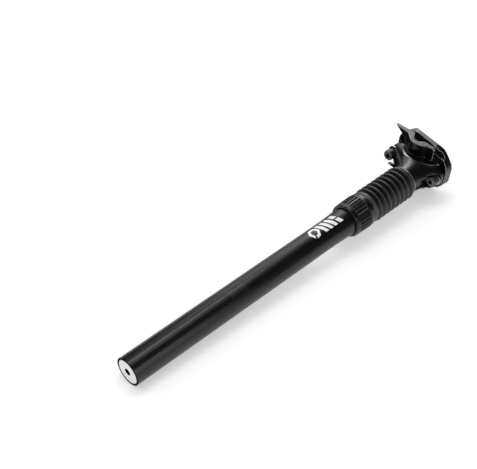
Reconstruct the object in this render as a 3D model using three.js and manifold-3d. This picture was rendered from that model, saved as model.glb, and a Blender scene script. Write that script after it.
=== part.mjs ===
// Suspension seatpost: a tube for the bicycle frame, a sprung inner post with a rubber boot,
// and a forged head whose two screws clamp the saddle rails between a rocking cradle and a
// windowed upper clamp. Millimetres. +Z runs along the post toward the saddle, +X points to the
// front of the bicycle, +Y to its left. The origin is the centre of the tube's lower end.
import * as THREE from 'three';
import { mergeVertices } from 'three/addons/utils/BufferGeometryUtils.js';
import Module from 'manifold-3d';

const wasm = await Module();
wasm.setup();

// ---------- driving dimensions ----------
const GAP = 0.3;                 // running clearance kept between touching pieces
const TUBE_R = 13.6;             // 27.2 mm post
const TUBE_BORE_R = 11.75;
const PLUG_BORE_R = 12.1;        // threaded mouth for the preload plug
const PLUG_BORE_TOP = 24;
const MOUTH_R = 14.4;            // thickened, threaded upper end
const MOUTH_BORE_R = 12.55;
const MOUTH_Z = 246;
const COLLAR_Z = 268;
const COLLAR_TOP = 294;
const BOOT_TOP = 354.6;
const NECK_Z = 356.2;
const NECK_R = 15.3;
const STANCHION_R = 11.1;
const STANCHION_BORE_R = 9.1;
const STANCHION_FOOT = 131;
const STANCHION_TOP = 371.5;
const TRAVEL = 40;               // how far the stanchion can sink

const SPRING_Z0 = 11.8;
const SPRING_Z1 = 205.7;
const WIRE_R = 1.3;
const COIL_R = 7.3;
const COILS = 13;
const GUIDE_HEAD_Z = 206;        // underside of the guide that the spring pushes on
const KEY_ANGLES = [0, 2 * Math.PI / 3, 4 * Math.PI / 3];
const KEY_Z0 = 262;              // the keys stop the stanchion from turning
const KEY_Z1 = 281;
const FOOT_GROOVE = [STANCHION_FOOT + 1.5, STANCHION_FOOT + 19];
const FLUTES = 30;               // grip flutes round the collar
const BOOT_Z0 = COLLAR_TOP + GAP;
const BOOT_FOLDS = 8;
const BOOT_CREST_R = 17.4;
const BOOT_VALLEY_R = 15.2;
const BOOT_WALL = 1.2;
const BAND_R = 16.9;             // plain band at the boot's foot
const BAND_H = 4.9;
const CUFF_R = 16.2;             // plain cuff at its top
const CUFF_H = 1.3;

const SETBACK_X = -8.2;          // clamp centre lies behind the tube's axis
const BOLT_REACH = 27.2;         // each screw's distance from the clamp centre
const FRONT_X = SETBACK_X + BOLT_REACH;
const REAR_X = SETBACK_X - BOLT_REACH;
const RAIL_Z = 398;              // height of the saddle rails' centres
const RAIL_Y = 22;               // half of the 44 mm rail spacing
const RAIL_R = 3.7;              // groove for a 7 mm rail
const PIVOT_Z = 402;             // axis that the cradle rocks about
const SEAT_R = 26;               // radius of the head's rocking seat
const EAR_UNDER_Z = 385.7;       // where the screws' washers bear
const WASHER_T = 1.7;
const POCKET_R = 8.4;            // round pockets under the ears, open at the sides
const POCKET_Z = 373;            // below this they narrow to leave a wall round the stanchion
const ACCESS_R = 6.8;
const HEAD_H = 7.2;              // screw head height
const HEAD_R = 5.6;
const BARREL_R = 5;
const BARREL_HALF = 11;
const SCREW_R = 3;
const SCREW_TOP = 408;
const REAR_DROP = 2.6;           // how far the rear screw is backed off
const CRADLE_TILT = -4.5;        // degrees, front up, as the loose clamp lies
const CLAMP_TILT = 6.5;          // degrees, front down
const CLAMP_Z = 396.4;           // centre of the upper clamp's parting face

const WING_TOP = RAIL_Z - 0.5;   // the cradle's wings, level with the rails' centres
const WING_T = 5;
const WING_Y = 27.5;
const WING_TIP_X = -46;          // pointed rear ends of the wings
const CLAMP_LOW = 0;             // the upper clamp's own heights start at its parting face
const CLAMP_TOP = 8.6;
const CLAMP_Y = 28;
const CLAMP_HALF = 34.2;
const BARREL_UP = 7.6;
const SCREW_HEAD_TOP = EAR_UNDER_Z - WASHER_T - 2 * GAP;

// ---------- geometry helpers ----------
function closed(geometry) {
  const g = geometry.index ? geometry.toNonIndexed() : geometry.clone();
  g.deleteAttribute('normal');
  g.deleteAttribute('uv');
  const merged = mergeVertices(g, 1e-5);
  const p = merged.attributes.position;
  const index = merged.index.array;
  const a = new THREE.Vector3();
  const b = new THREE.Vector3();
  const c = new THREE.Vector3();
  const kept = [];
  let volume = 0;
  for (let i = 0; i < index.length; i += 3) {
    const [ia, ib, ic] = [index[i], index[i + 1], index[i + 2]];
    if (ia === ib || ib === ic || ic === ia) continue;
    kept.push(ia, ib, ic);
    a.fromBufferAttribute(p, ia);
    b.fromBufferAttribute(p, ib);
    c.fromBufferAttribute(p, ic);
    volume += a.dot(b.cross(c));
  }
  if (volume < 0) {
    for (let i = 0; i < kept.length; i += 3) {
      [kept[i + 1], kept[i + 2]] = [kept[i + 2], kept[i + 1]];
    }
  }
  merged.setIndex(kept);
  return merged;
}

function solid(geometry) {
  const g = closed(geometry);
  const vertProperties = new Float32Array(g.attributes.position.array);
  const triVerts = new Uint32Array(g.index.array);
  return new wasm.Manifold(new wasm.Mesh({ numProp: 3, vertProperties, triVerts }));
}

function toGeometry(manifold) {
  const mesh = manifold.getMesh();
  const g = new THREE.BufferGeometry();
  g.setAttribute('position', new THREE.BufferAttribute(new Float32Array(mesh.vertProperties), 3));
  g.setIndex(new THREE.BufferAttribute(new Uint32Array(mesh.triVerts), 1));
  return g;
}

function joined(first, ...rest) {
  return rest.reduce((sum, next) => sum.add(next), first);
}

function cut(first, ...tools) {
  return tools.reduce((rest, tool) => rest.subtract(tool), first);
}

// profile is a list of [radius, z] turned about Z
function turned(profile, segments = 40) {
  const points = profile.map(([r, z]) => new THREE.Vector2(r, z));
  return new THREE.LatheGeometry(points, segments).rotateX(Math.PI / 2);
}

// closed ring between two radii
function ring(rIn, rOut, z0, z1, segments = 40) {
  return turned([[rIn, z0], [rOut, z0], [rOut, z1], [rIn, z1], [rIn, z0]], segments);
}

function box(x0, x1, y0, y1, z0, z1) {
  const g = new THREE.BoxGeometry(x1 - x0, y1 - y0, z1 - z0);
  return g.translate((x0 + x1) / 2, (y0 + y1) / 2, (z0 + z1) / 2);
}

function rodZ(x, y, z0, z1, r, segments = 24) {
  const g = new THREE.CylinderGeometry(r, r, z1 - z0, segments).rotateX(Math.PI / 2);
  return g.translate(x, y, (z0 + z1) / 2);
}

function rodY(x, z, half, r, segments = 32) {
  return new THREE.CylinderGeometry(r, r, 2 * half, segments).translate(x, 0, z);
}

function rodX(y, z, x0, x1, r, segments = 20) {
  const g = new THREE.CylinderGeometry(r, r, x1 - x0, segments).rotateZ(Math.PI / 2);
  return g.translate((x0 + x1) / 2, y, z);
}

// slot along X with round ends, cut upward from z0 to z1
function slotZ(x, halfLength, r, z0, z1) {
  const shape = new THREE.Shape();
  shape.absarc(halfLength, 0, r, -Math.PI / 2, Math.PI / 2);
  shape.absarc(-halfLength, 0, r, Math.PI / 2, 1.5 * Math.PI);
  const g = new THREE.ExtrudeGeometry(shape, { depth: z1 - z0, bevelEnabled: false, curveSegments: 8 });
  return g.translate(x, 0, z0);
}

// side outline in X and Z, spread from y0 to y1
function sideSlab(shape, y0, y1, curveSegments = 8) {
  const g = new THREE.ExtrudeGeometry(shape, { depth: y1 - y0, bevelEnabled: false, curveSegments });
  return g.rotateX(Math.PI / 2).translate(0, y1, 0);
}

// cross outline in Y and Z, spread from x0 to x1
function crossSlab(shape, x0, x1, curveSegments = 8) {
  const g = new THREE.ExtrudeGeometry(shape, { depth: x1 - x0, bevelEnabled: false, curveSegments });
  const axes = new THREE.Matrix4().makeBasis(
    new THREE.Vector3(0, 1, 0), new THREE.Vector3(0, 0, 1), new THREE.Vector3(1, 0, 0));
  return g.applyMatrix4(axes).translate(x0, 0, 0);
}

function planSlab(shape, z0, z1, curveSegments = 8) {
  const g = new THREE.ExtrudeGeometry(shape, { depth: z1 - z0, bevelEnabled: false, curveSegments });
  return g.translate(0, 0, z0);
}

function hexZ(x, acrossFlats, z0, z1) {
  const r = acrossFlats / Math.sqrt(3);
  return rodZ(x, 0, z0, z1, r, 6);
}

// ---------- lower tube and spring ----------
function outerTube() {
  return turned([
    [PLUG_BORE_R, 0], [TUBE_R - 0.4, 0], [TUBE_R, 0.4],
    [TUBE_R, MOUTH_Z], [MOUTH_R, COLLAR_Z - 2], [MOUTH_R, COLLAR_TOP - 4.5],
    [MOUTH_BORE_R, COLLAR_TOP - 4.5], [MOUTH_BORE_R, MOUTH_Z], [TUBE_BORE_R, MOUTH_Z],
    [TUBE_BORE_R, PLUG_BORE_TOP], [PLUG_BORE_R, PLUG_BORE_TOP], [PLUG_BORE_R, 0],
  ], 40);
}

function preloadPlug() {
  const r = PLUG_BORE_R - GAP;
  const body = turned([[0, 0.2], [r - 0.5, 0.2], [r, 0.7], [r, 9], [0, 9]], 40);
  return toGeometry(cut(solid(body), solid(hexZ(0, 6, -1, 6))));
}

function springSeat() {
  return turned([[0, 9.3], [11.3, 9.3], [11.3, 11.5], [5.4, 11.5], [5.2, 15], [0, 15]], 32);
}

class CoilCurve extends THREE.Curve {
  getPoint(t, target = new THREE.Vector3()) {
    const angle = 2 * Math.PI * COILS * t;
    const z = SPRING_Z0 + WIRE_R + (SPRING_Z1 - SPRING_Z0 - 2 * WIRE_R) * t;
    return target.set(COIL_R * Math.cos(angle), COIL_R * Math.sin(angle), z);
  }
}

function coilSpring() {
  const wire = new THREE.Shape();
  wire.absarc(0, 0, WIRE_R, 0, 2 * Math.PI);
  return new THREE.ExtrudeGeometry(wire, {
    steps: COILS * 10, extrudePath: new CoilCurve(), curveSegments: 3, bevelEnabled: false,
  });
}

// ---------- sliding inner post ----------

function stanchion() {
  const r = STANCHION_R;
  const body = turned([
    [STANCHION_BORE_R, STANCHION_FOOT], [r, STANCHION_FOOT],
    [r, FOOT_GROOVE[0]], [r - 0.8, FOOT_GROOVE[0]], [r - 0.8, FOOT_GROOVE[1]], [r, FOOT_GROOVE[1]],
    [r, STANCHION_TOP], [STANCHION_BORE_R, STANCHION_TOP], [STANCHION_BORE_R, STANCHION_FOOT],
  ], 32);
  const grooves = KEY_ANGLES.map((angle) => solid(
    box(r - 0.8, r + 1, -1.6, 1.6, KEY_Z0 - 1.5, KEY_Z1 + TRAVEL + 1.5).rotateZ(angle)));
  return toGeometry(cut(solid(body), ...grooves));
}

function guideBushing() {
  const [low, high] = FOOT_GROOVE;
  return ring(STANCHION_R - 0.8 + GAP, TUBE_BORE_R - GAP, low + GAP, high - GAP, 32);
}

function springGuide() {
  return turned([
    [0, 68], [2.2, 68], [2.2, 72], [4.6, 72], [4.6, GUIDE_HEAD_Z],
    [STANCHION_BORE_R - GAP, GUIDE_HEAD_Z], [STANCHION_BORE_R - GAP, GUIDE_HEAD_Z + 8],
    [0, GUIDE_HEAD_Z + 8],
  ], 28);
}

function bumpRubber() {
  return turned([[0, 64], [3.6, 64], [4.4, 66], [4.4, 71.7], [2.5, 71.7], [2.5, 67.7], [0, 67.7]], 28);
}

// ---------- guide and seals in the tube's mouth ----------
function upperBushing() {
  const body = ring(STANCHION_R + GAP, MOUTH_BORE_R - GAP, 250, 285);
  const slots = KEY_ANGLES.map((angle) => solid(
    box(9, 14, -1.6, 1.6, KEY_Z0 - GAP, 290).rotateZ(angle)));
  return toGeometry(cut(solid(body), ...slots));
}

function keyBar(angle) {
  return box(STANCHION_R - 0.5, MOUTH_BORE_R - GAP, -1.3, 1.3, KEY_Z0, KEY_Z1).rotateZ(angle);
}

function wiperSeal() {
  return turned([
    [STANCHION_R + GAP, 285.6], [MOUTH_BORE_R - GAP, 285.6], [MOUTH_BORE_R - GAP, 288.8],
    [STANCHION_R + 1, 288.8], [STANCHION_R + GAP, 288], [STANCHION_R + GAP, 285.6],
  ], 28);
}

function flutedOutline(outer, depth) {
  const shape = new THREE.Shape();
  for (let i = 0; i < FLUTES; i += 1) {
    const step = 2 * Math.PI / FLUTES;
    for (const [share, r] of [[0, outer], [0.34, outer], [0.52, outer - depth], [0.82, outer - depth]]) {
      const angle = (i + share) * step;
      const method = i === 0 && share === 0 ? 'moveTo' : 'lineTo';
      shape[method](r * Math.cos(angle), r * Math.sin(angle));
    }
  }
  return shape;
}

function collarNut() {
  const bore = MOUTH_R + GAP;
  const core = turned([
    [bore, COLLAR_Z], [16.2, COLLAR_Z], [16.9, COLLAR_Z + 2], [17.1, COLLAR_Z + 4.5],
    [16.4, COLLAR_Z + 5], [16.6, COLLAR_TOP - 7], [17.3, COLLAR_TOP - 6.5],
    [17.1, COLLAR_TOP - 2], [16.3, COLLAR_TOP], [11.9, COLLAR_TOP], [11.9, COLLAR_TOP - 3.6],
    [bore, COLLAR_TOP - 3.6], [bore, COLLAR_Z],
  ], 40);
  const grip = cut(
    solid(planSlab(flutedOutline(17.6, 0.8), COLLAR_Z + 4.2, COLLAR_TOP - 6.2)),
    solid(rodZ(0, 0, COLLAR_Z, COLLAR_TOP, 15.6, 40)));
  return toGeometry(joined(solid(core), grip));
}

// ---------- rubber boot ----------

function bootProfile(inset) {
  const [z0, z1] = [BOOT_Z0 + BAND_H, BOOT_TOP - CUFF_H];
  const points = [];
  const steps = 4;
  for (let i = 0; i <= BOOT_FOLDS * steps; i += 1) {
    const t = i / (BOOT_FOLDS * steps);
    const wave = Math.abs(Math.sin(Math.PI * BOOT_FOLDS * t)) ** 0.7;
    points.push([BOOT_VALLEY_R + (BOOT_CREST_R - BOOT_VALLEY_R) * wave - inset, z0 + (z1 - z0) * t]);
  }
  return points;
}

function boot() {
  const innerR = BOOT_VALLEY_R - BOOT_WALL;
  return turned([
    [innerR, BOOT_Z0], [BAND_R - 0.6, BOOT_Z0], [BAND_R, BOOT_Z0 + 0.7],
    [BAND_R, BOOT_Z0 + BAND_H - 0.9], [BAND_R - 0.5, BOOT_Z0 + BAND_H - 0.3],
    ...bootProfile(0), [CUFF_R, BOOT_TOP - CUFF_H + 0.4], [CUFF_R, BOOT_TOP], [innerR, BOOT_TOP],
    ...bootProfile(BOOT_WALL).reverse(), [innerR, BOOT_Z0],
  ], 24);
}

function bootRing() {
  return ring(STANCHION_R + GAP, 16.4, BOOT_TOP + GAP, NECK_Z - GAP, 32);
}

// ---------- head ----------
// level cuts through the forging: height, centre in X, half length, half width, squareness
const HEAD_LEVELS = [
  [NECK_Z, 0, NECK_R, NECK_R, 2],
  [361, -0.2, 15.5, 15.5, 2],
  [367, -1, 17, 15.8, 2.1],
  [372.5, -2.6, 20.8, 16.1, 2.1],
  [377.5, -4.8, 26, 16.4, 2.15],
  [382, -6.2, 30.4, 16.4, 2.25],
  [386, -7, 32.6, 16.2, 2.4],
  [388.8, -7.1, 32.4, 15.8, 2.5],
  [390.6, -7.2, 31.2, 14.8, 2.5],
];

// a cylinder whose rings are stretched to the level cuts
function forged(levels, segments = 48) {
  const rows = levels.length - 1;
  const g = new THREE.CylinderGeometry(1, 1, rows, segments, rows);
  g.rotateX(Math.PI / 2).translate(0, 0, rows / 2);
  const p = g.attributes.position;
  for (let i = 0; i < p.count; i += 1) {
    const level = levels[Math.round(p.getZ(i))];
    const [z, cx, halfX, halfY, power] = level;
    const r = Math.hypot(p.getX(i), p.getY(i));
    const angle = Math.atan2(p.getY(i), p.getX(i));
    const c = Math.cos(angle);
    const s = Math.sin(angle);
    const x = Math.sign(c) * Math.abs(c) ** (2 / power) * halfX * Math.min(r, 1);
    const y = Math.sign(s) * Math.abs(s) ** (2 / power) * halfY * Math.min(r, 1);
    p.setXYZ(i, cx + x, y, z);
  }
  return g;
}

function head() {
  const body = solid(forged(HEAD_LEVELS));
  const seat = solid(rodY(SETBACK_X, PIVOT_Z, 40, SEAT_R, 72));
  const socket = solid(rodZ(0, 0, NECK_Z - 5, STANCHION_TOP + GAP, STANCHION_R + GAP, 40));
  const cuts = [seat, socket];
  for (const x of [FRONT_X, REAR_X]) {
    cuts.push(solid(slotZ(x, 1.2, 3.5, 370, 400)));
    cuts.push(solid(rodZ(x, 0, POCKET_Z, EAR_UNDER_Z, POCKET_R, 32)));
    cuts.push(solid(rodZ(x, 0, 350, POCKET_Z + 1, ACCESS_R, 32)));
  }
  return toGeometry(cut(body, ...cuts));
}

// ---------- clamp ----------

// side outline of the wings: level behind, a scoop, then a lower ledge in front
function waveOutline() {
  const top = WING_TOP;
  const ledge = top - 5;
  const low = top - 9.5;
  const shape = new THREE.Shape();
  shape.moveTo(WING_TIP_X, top);
  shape.lineTo(-24.5, top);
  shape.bezierCurveTo(-21.5, top, -22.5, low, -16, low);
  shape.bezierCurveTo(-10.5, low, -11.5, ledge, -6, ledge);
  shape.lineTo(6, ledge);
  shape.lineTo(6, ledge - 4);
  shape.lineTo(-3, ledge - 4);
  shape.bezierCurveTo(-7, low - 4.5, -12, low - 4.5, -16, low - 4.5);
  shape.bezierCurveTo(-23, low - 4.5, -26, top - WING_T, -31, top - WING_T);
  shape.lineTo(WING_TIP_X, top - WING_T + 2);
  shape.closePath();
  return shape;
}

// pointed rear tips, waist for the screws, rounded front
function cradlePlan() {
  const y = WING_Y;
  const shape = new THREE.Shape();
  shape.moveTo(WING_TIP_X, y);
  shape.lineTo(4, y);
  shape.quadraticCurveTo(6, y, 7, y - 3);
  shape.lineTo(13.5, 12);
  shape.lineTo(13.5, -12);
  shape.lineTo(7, 3 - y);
  shape.quadraticCurveTo(6, -y, 4, -y);
  shape.lineTo(WING_TIP_X, -y);
  shape.lineTo(-31, -18);
  shape.lineTo(-29, -12);
  shape.lineTo(-29, 12);
  shape.lineTo(-31, 18);
  shape.closePath();
  return shape;
}

function cradleCore() {
  const shape = new THREE.Shape();
  const r = SEAT_R - GAP;
  const reach = 22.5;
  const angle = Math.acos(reach / r);
  shape.moveTo(SETBACK_X + reach, WING_TOP - 6.8);
  shape.lineTo(SETBACK_X - reach, WING_TOP - 6.8);
  shape.lineTo(SETBACK_X - reach, PIVOT_Z - r * Math.sin(angle));
  shape.absarc(SETBACK_X, PIVOT_Z, r, Math.PI + angle, 2 * Math.PI - angle, false);
  shape.closePath();
  return shape;
}

function lowerCradle() {
  const wings = solid(sideSlab(waveOutline(), -WING_Y, WING_Y));
  const plan = solid(planSlab(cradlePlan(), 360, 400));
  const core = solid(sideSlab(cradleCore(), -12.5, 12.5, 14));
  const clearance = solid(sideSlab(seatClearance(), -16.6, 16.6, 14));
  const shaped = joined(cut(wings.intersect(plan), clearance), core);
  const grooves = [-RAIL_Y, RAIL_Y].map((y) => solid(rodX(y, RAIL_Z, -50, 20, RAIL_R, 24)));
  const pocket = solid(box(SETBACK_X - 15, SETBACK_X + 15, -8, 8, 384, 400));
  return toGeometry(cut(shaped, ...grooves, pocket));
}

// space below the wings that the head's flanks sweep through
function seatClearance() {
  const shape = new THREE.Shape();
  shape.moveTo(SETBACK_X - 45, 360);
  shape.lineTo(SETBACK_X + 45, 360);
  shape.lineTo(SETBACK_X + 45, 395);
  shape.lineTo(SETBACK_X + 24, 395);
  shape.absarc(SETBACK_X, PIVOT_Z, SEAT_R - GAP, -0.28, Math.PI + 0.28, true);
  shape.lineTo(SETBACK_X - 45, 395);
  shape.closePath();
  return shape;
}

// cross outline of the upper clamp: lips over the rails, flat spine
function clampOutline() {
  const y = CLAMP_Y;
  const shape = new THREE.Shape();
  shape.moveTo(-y, CLAMP_LOW);
  shape.lineTo(y, CLAMP_LOW);
  shape.lineTo(y, CLAMP_LOW + 4);
  shape.quadraticCurveTo(y - 0.6, CLAMP_TOP - 1, y - 7, CLAMP_TOP - 0.6);
  shape.lineTo(14, CLAMP_TOP);
  shape.lineTo(-14, CLAMP_TOP);
  shape.lineTo(7 - y, CLAMP_TOP - 0.6);
  shape.quadraticCurveTo(0.6 - y, CLAMP_TOP - 1, -y, CLAMP_LOW + 4);
  shape.closePath();
  return shape;
}

// plan outline: straight over the rails, drawn in to round ends over the barrel nuts
function clampPlan() {
  const corner = new THREE.Path();
  corner.moveTo(CLAMP_HALF, 7);
  corner.quadraticCurveTo(CLAMP_HALF, 13, 22.5, CLAMP_Y - 4.5);
  corner.quadraticCurveTo(18.5, CLAMP_Y, 12.5, CLAMP_Y);
  const quarter = corner.getPoints(6);
  const mirrored = (sx, sy) => quarter.map((point) => new THREE.Vector2(sx * point.x, sy * point.y));
  return new THREE.Shape([
    ...mirrored(1, 1), ...mirrored(-1, 1).reverse(),
    ...mirrored(-1, -1), ...mirrored(1, -1).reverse(),
  ]);
}

function windowPlan(y) {
  const [hx, hy, r] = [13, 6.2, 2.6];
  const shape = new THREE.Shape();
  shape.absarc(hx - r, y + hy - r, r, 0, Math.PI / 2);
  shape.absarc(r - hx, y + hy - r, r, Math.PI / 2, Math.PI);
  shape.absarc(r - hx, y - hy + r, r, Math.PI, 1.5 * Math.PI);
  shape.absarc(hx - r, y - hy + r, r, 1.5 * Math.PI, 2 * Math.PI);
  shape.closePath();
  return shape;
}

// made about its own centre, parting face at z = 0
function upperClamp() {
  const arch = solid(crossSlab(clampOutline(), -40, 40, 6));
  const plan = solid(planSlab(clampPlan(), -20, 20, 6));
  const cuts = [-RAIL_Y, RAIL_Y].map((y) => solid(rodX(y, -0.5, -50, 50, RAIL_R, 24)));
  cuts.push(solid(box(-20, 20, -14, 14, -1, 2.5)));
  for (const y of [-9, 9]) {
    cuts.push(solid(planSlab(windowPlan(y), -20, 20, 4)));
  }
  for (const x of [-BOLT_REACH, BOLT_REACH]) {
    const r = BARREL_R + GAP;
    const half = BARREL_HALF + 0.5;
    cuts.push(solid(rodY(x, BARREL_UP, half, r, 32)));
    cuts.push(solid(box(x - r, x + r, -half, half, BARREL_UP, 20)));
    cuts.push(solid(slotZ(x, 1.9, 3.6, -20, 20)));
  }
  return toGeometry(cut(arch.intersect(plan), ...cuts));
}

function barrelNut() {
  const [r, h, c] = [BARREL_R, BARREL_HALF, 0.8];
  const body = turned([[0, -h], [r - c, -h], [r, c - h], [r, h - c], [r - c, h], [0, h]], 32)
    .rotateX(Math.PI / 2);
  return toGeometry(cut(solid(body), solid(rodZ(0, 0, -10, 10, SCREW_R + 0.9, 20))));
}

// knurled socket-head screw pointing up, its head's upper face at z = 0
function clampScrew() {
  const length = SCREW_TOP - SCREW_HEAD_TOP;
  const knurl = new THREE.Shape();
  const teeth = 18;
  for (let i = 0; i < 2 * teeth; i += 1) {
    const r = i % 2 ? HEAD_R - 0.35 : HEAD_R;
    const angle = i * Math.PI / teeth;
    knurl[i ? 'lineTo' : 'moveTo'](r * Math.cos(angle), r * Math.sin(angle));
  }
  const body = joined(
    solid(planSlab(knurl, 1 - HEAD_H, -0.8)),
    solid(turned([
      [0, -HEAD_H], [HEAD_R - 1, -HEAD_H], [HEAD_R - 0.3, 1.1 - HEAD_H], [HEAD_R - 0.3, 0],
      [SCREW_R, 0], [SCREW_R, length - 1], [SCREW_R - 0.9, length], [0, length],
    ], 24)));
  return toGeometry(cut(body, solid(hexZ(0, 5, -HEAD_H - 1, -HEAD_H + 3.4))));
}

function washer() {
  const bore = SCREW_R + GAP;
  return turned([[bore, 0], [6.7, 0], [6.7, 0.7], [6, WASHER_T], [bore, WASHER_T], [bore, 0]], 28);
}

// ---------- materials ----------
function finish(color, roughness, metalness) {
  return new THREE.MeshStandardMaterial({ color, roughness, metalness });
}

const FINISH = {
  anodised: finish(0x1c1d1f, 0.34, 0.6),
  forged: finish(0x222325, 0.38, 0.6),
  rubber: finish(0x2b2b2c, 0.75, 0),
  plastic: finish(0xdadcdc, 0.5, 0),
  blackSteel: finish(0x2a2a2b, 0.3, 0.9),
  steel: finish(0x9a9c9e, 0.3, 0.95),
  polymer: finish(0x3a3c40, 0.55, 0),
  elastomer: finish(0x6a5a3a, 0.7, 0),
};

// ---------- assembly ----------
const seatpost = new THREE.Group();

function place(parent, name, geometry, material, x = 0, z = 0) {
  const mesh = new THREE.Mesh(geometry, material);
  mesh.name = name;
  mesh.position.set(x, 0, z);
  parent.add(mesh);
  return mesh;
}

place(seatpost, 'outer_tube', outerTube(), FINISH.anodised);
place(seatpost, 'preload_plug', preloadPlug(), FINISH.plastic);
place(seatpost, 'spring_seat', springSeat(), FINISH.steel);
place(seatpost, 'coil_spring', coilSpring(), FINISH.steel);
place(seatpost, 'upper_bushing', upperBushing(), FINISH.polymer);
KEY_ANGLES.forEach((angle, i) => {
  place(seatpost, `key_${'abc'[i]}`, keyBar(angle), FINISH.steel);
});
place(seatpost, 'wiper_seal', wiperSeal(), FINISH.rubber);
place(seatpost, 'collar_nut', collarNut(), FINISH.anodised);
place(seatpost, 'boot', boot(), FINISH.rubber);

const slider = new THREE.Group();
seatpost.add(slider);
place(slider, 'stanchion', stanchion(), FINISH.steel);
place(slider, 'guide_bushing', guideBushing(), FINISH.polymer);
place(slider, 'spring_guide', springGuide(), FINISH.polymer);
place(slider, 'bump_rubber', bumpRubber(), FINISH.elastomer);
place(slider, 'boot_ring', bootRing(), FINISH.steel);
place(slider, 'head', head(), FINISH.forged);

const cradle = new THREE.Group();
cradle.position.set(SETBACK_X, 0, PIVOT_Z);
cradle.rotation.y = THREE.MathUtils.degToRad(CRADLE_TILT);
slider.add(cradle);
place(cradle, 'lower_cradle', lowerCradle(), FINISH.forged, -SETBACK_X, -PIVOT_Z);

// the clamp leans about its parting face; its barrel nuts stay upright on the screws
const lean = THREE.MathUtils.degToRad(CLAMP_TILT);
const clamp = new THREE.Group();
clamp.position.set(SETBACK_X - BARREL_UP * Math.sin(lean), 0, CLAMP_Z);
clamp.rotation.y = lean;
slider.add(clamp);
place(clamp, 'upper_clamp', upperClamp(), FINISH.forged);

for (const [side, x, sign] of [['front', FRONT_X, 1], ['rear', REAR_X, -1]]) {
  const barrelX = clamp.position.x + sign * BOLT_REACH * Math.cos(lean) + BARREL_UP * Math.sin(lean);
  const barrelZ = CLAMP_Z + BARREL_UP * Math.cos(lean) - sign * BOLT_REACH * Math.sin(lean);
  place(slider, `barrel_nut_${side}`, barrelNut(), FINISH.blackSteel, barrelX, barrelZ);
  const drop = side === 'rear' ? REAR_DROP : 0;
  place(slider, `clamp_screw_${side}`, clampScrew(), FINISH.blackSteel, x, SCREW_HEAD_TOP - drop);
  place(slider, `washer_${side}`, washer(), FINISH.steel, x, EAR_UNDER_Z - GAP - WASHER_T);
}

export default seatpost;
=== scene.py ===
# Suspension seatpost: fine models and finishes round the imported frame.
import math

import bmesh
import bpy
from mathutils import Matrix, Vector


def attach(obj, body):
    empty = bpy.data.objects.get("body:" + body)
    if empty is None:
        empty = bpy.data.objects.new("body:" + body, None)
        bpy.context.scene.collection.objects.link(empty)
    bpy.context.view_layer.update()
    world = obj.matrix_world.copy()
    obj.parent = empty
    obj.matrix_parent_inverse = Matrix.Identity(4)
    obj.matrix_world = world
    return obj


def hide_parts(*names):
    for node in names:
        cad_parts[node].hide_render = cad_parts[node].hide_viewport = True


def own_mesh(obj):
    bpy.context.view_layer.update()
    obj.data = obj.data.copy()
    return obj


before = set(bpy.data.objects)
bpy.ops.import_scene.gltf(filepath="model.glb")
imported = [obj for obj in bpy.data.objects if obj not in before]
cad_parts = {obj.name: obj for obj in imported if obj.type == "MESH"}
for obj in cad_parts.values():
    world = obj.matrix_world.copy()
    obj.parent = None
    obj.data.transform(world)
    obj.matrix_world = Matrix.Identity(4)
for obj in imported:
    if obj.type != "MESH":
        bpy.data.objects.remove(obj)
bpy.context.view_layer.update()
MM = 0.001
TAU = 2 * math.pi

# ---------- sizes in millimetres ----------
TUBE_R = 13.6
COLLAR_Z, COLLAR_TOP = 268.0, 294.0
BOOT_Z0, BOOT_TOP = 294.3, 354.6
NECK_Z = 356.2
STANCHION_R, STANCHION_TOP = 11.1, 371.5
SETBACK_X, BOLT_REACH = -8.2, 27.2
FRONT_X, REAR_X = SETBACK_X + BOLT_REACH, SETBACK_X - BOLT_REACH
RAIL_Z, RAIL_Y, RAIL_R = 398.0, 22.0, 3.7
PIVOT_Z, SEAT_R, BEVEL_Y = 402.0, 26.0, 13.4
EAR_UNDER_Z, POCKET_R, POCKET_Z, ACCESS_R = 385.7, 8.4, 373.0, 6.8
CRADLE_TILT, CLAMP_TILT, CLAMP_Z = -4.5, 6.5, 396.4
WING_TOP, WING_T, WING_Y, WING_TIP_X = 397.5, 5.0, 27.5, -46.0
CLAMP_TOP, CLAMP_Y, CLAMP_HALF, BARREL_UP = 8.6, 27.98, 34.2, 7.6
SCREW_HEAD_TOP, REAR_DROP, SCREW_TOP = 383.4, 2.6, 408.0
HEAD_H, HEAD_R, SCREW_R = 7.2, 5.6, 3.0
GAP = 0.3


# ---------- mesh helpers ----------
def from_points(name, points, faces):
    mesh = bpy.data.meshes.new(name)
    mesh.from_pydata([tuple(c * MM for c in p) for p in points], [], faces)
    mesh.update()
    obj = bpy.data.objects.new(name, mesh)
    bpy.context.scene.collection.objects.link(obj)
    return obj


def outward(obj):
    bm = bmesh.new()
    bm.from_mesh(obj.data)
    bmesh.ops.recalc_face_normals(bm, faces=bm.faces)
    bm.to_mesh(obj.data)
    bm.free()
    return obj


def from_rows(name, rows, ring=False):
    """Rows of points joined into a skin: a ring joins last to first, else both ends are capped."""
    n = len(rows[0])
    points = [p for row in rows for p in row]
    faces = []
    count = len(rows)
    for i in range(count if ring else count - 1):
        a, b = i * n, ((i + 1) % count) * n
        faces += [(a + j, a + (j + 1) % n, b + (j + 1) % n, b + j) for j in range(n)]
    if not ring:
        faces.append(tuple(reversed(range(n))))
        faces.append(tuple(range((count - 1) * n, count * n)))
    return outward(from_points(name, points, faces))


def lathe(name, profile, segments=96, ring=False, shape=None):
    """profile is [(radius, z)]; shape(radius, z, angle) may push the surface in or out."""
    rows = []
    for r, z in profile:
        row = []
        for j in range(segments):
            angle = TAU * j / segments
            reach = shape(r, z, angle) if shape else r
            row.append((reach * math.cos(angle), reach * math.sin(angle), z))
        rows.append(row)
    return from_rows(name, rows, ring)


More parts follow.
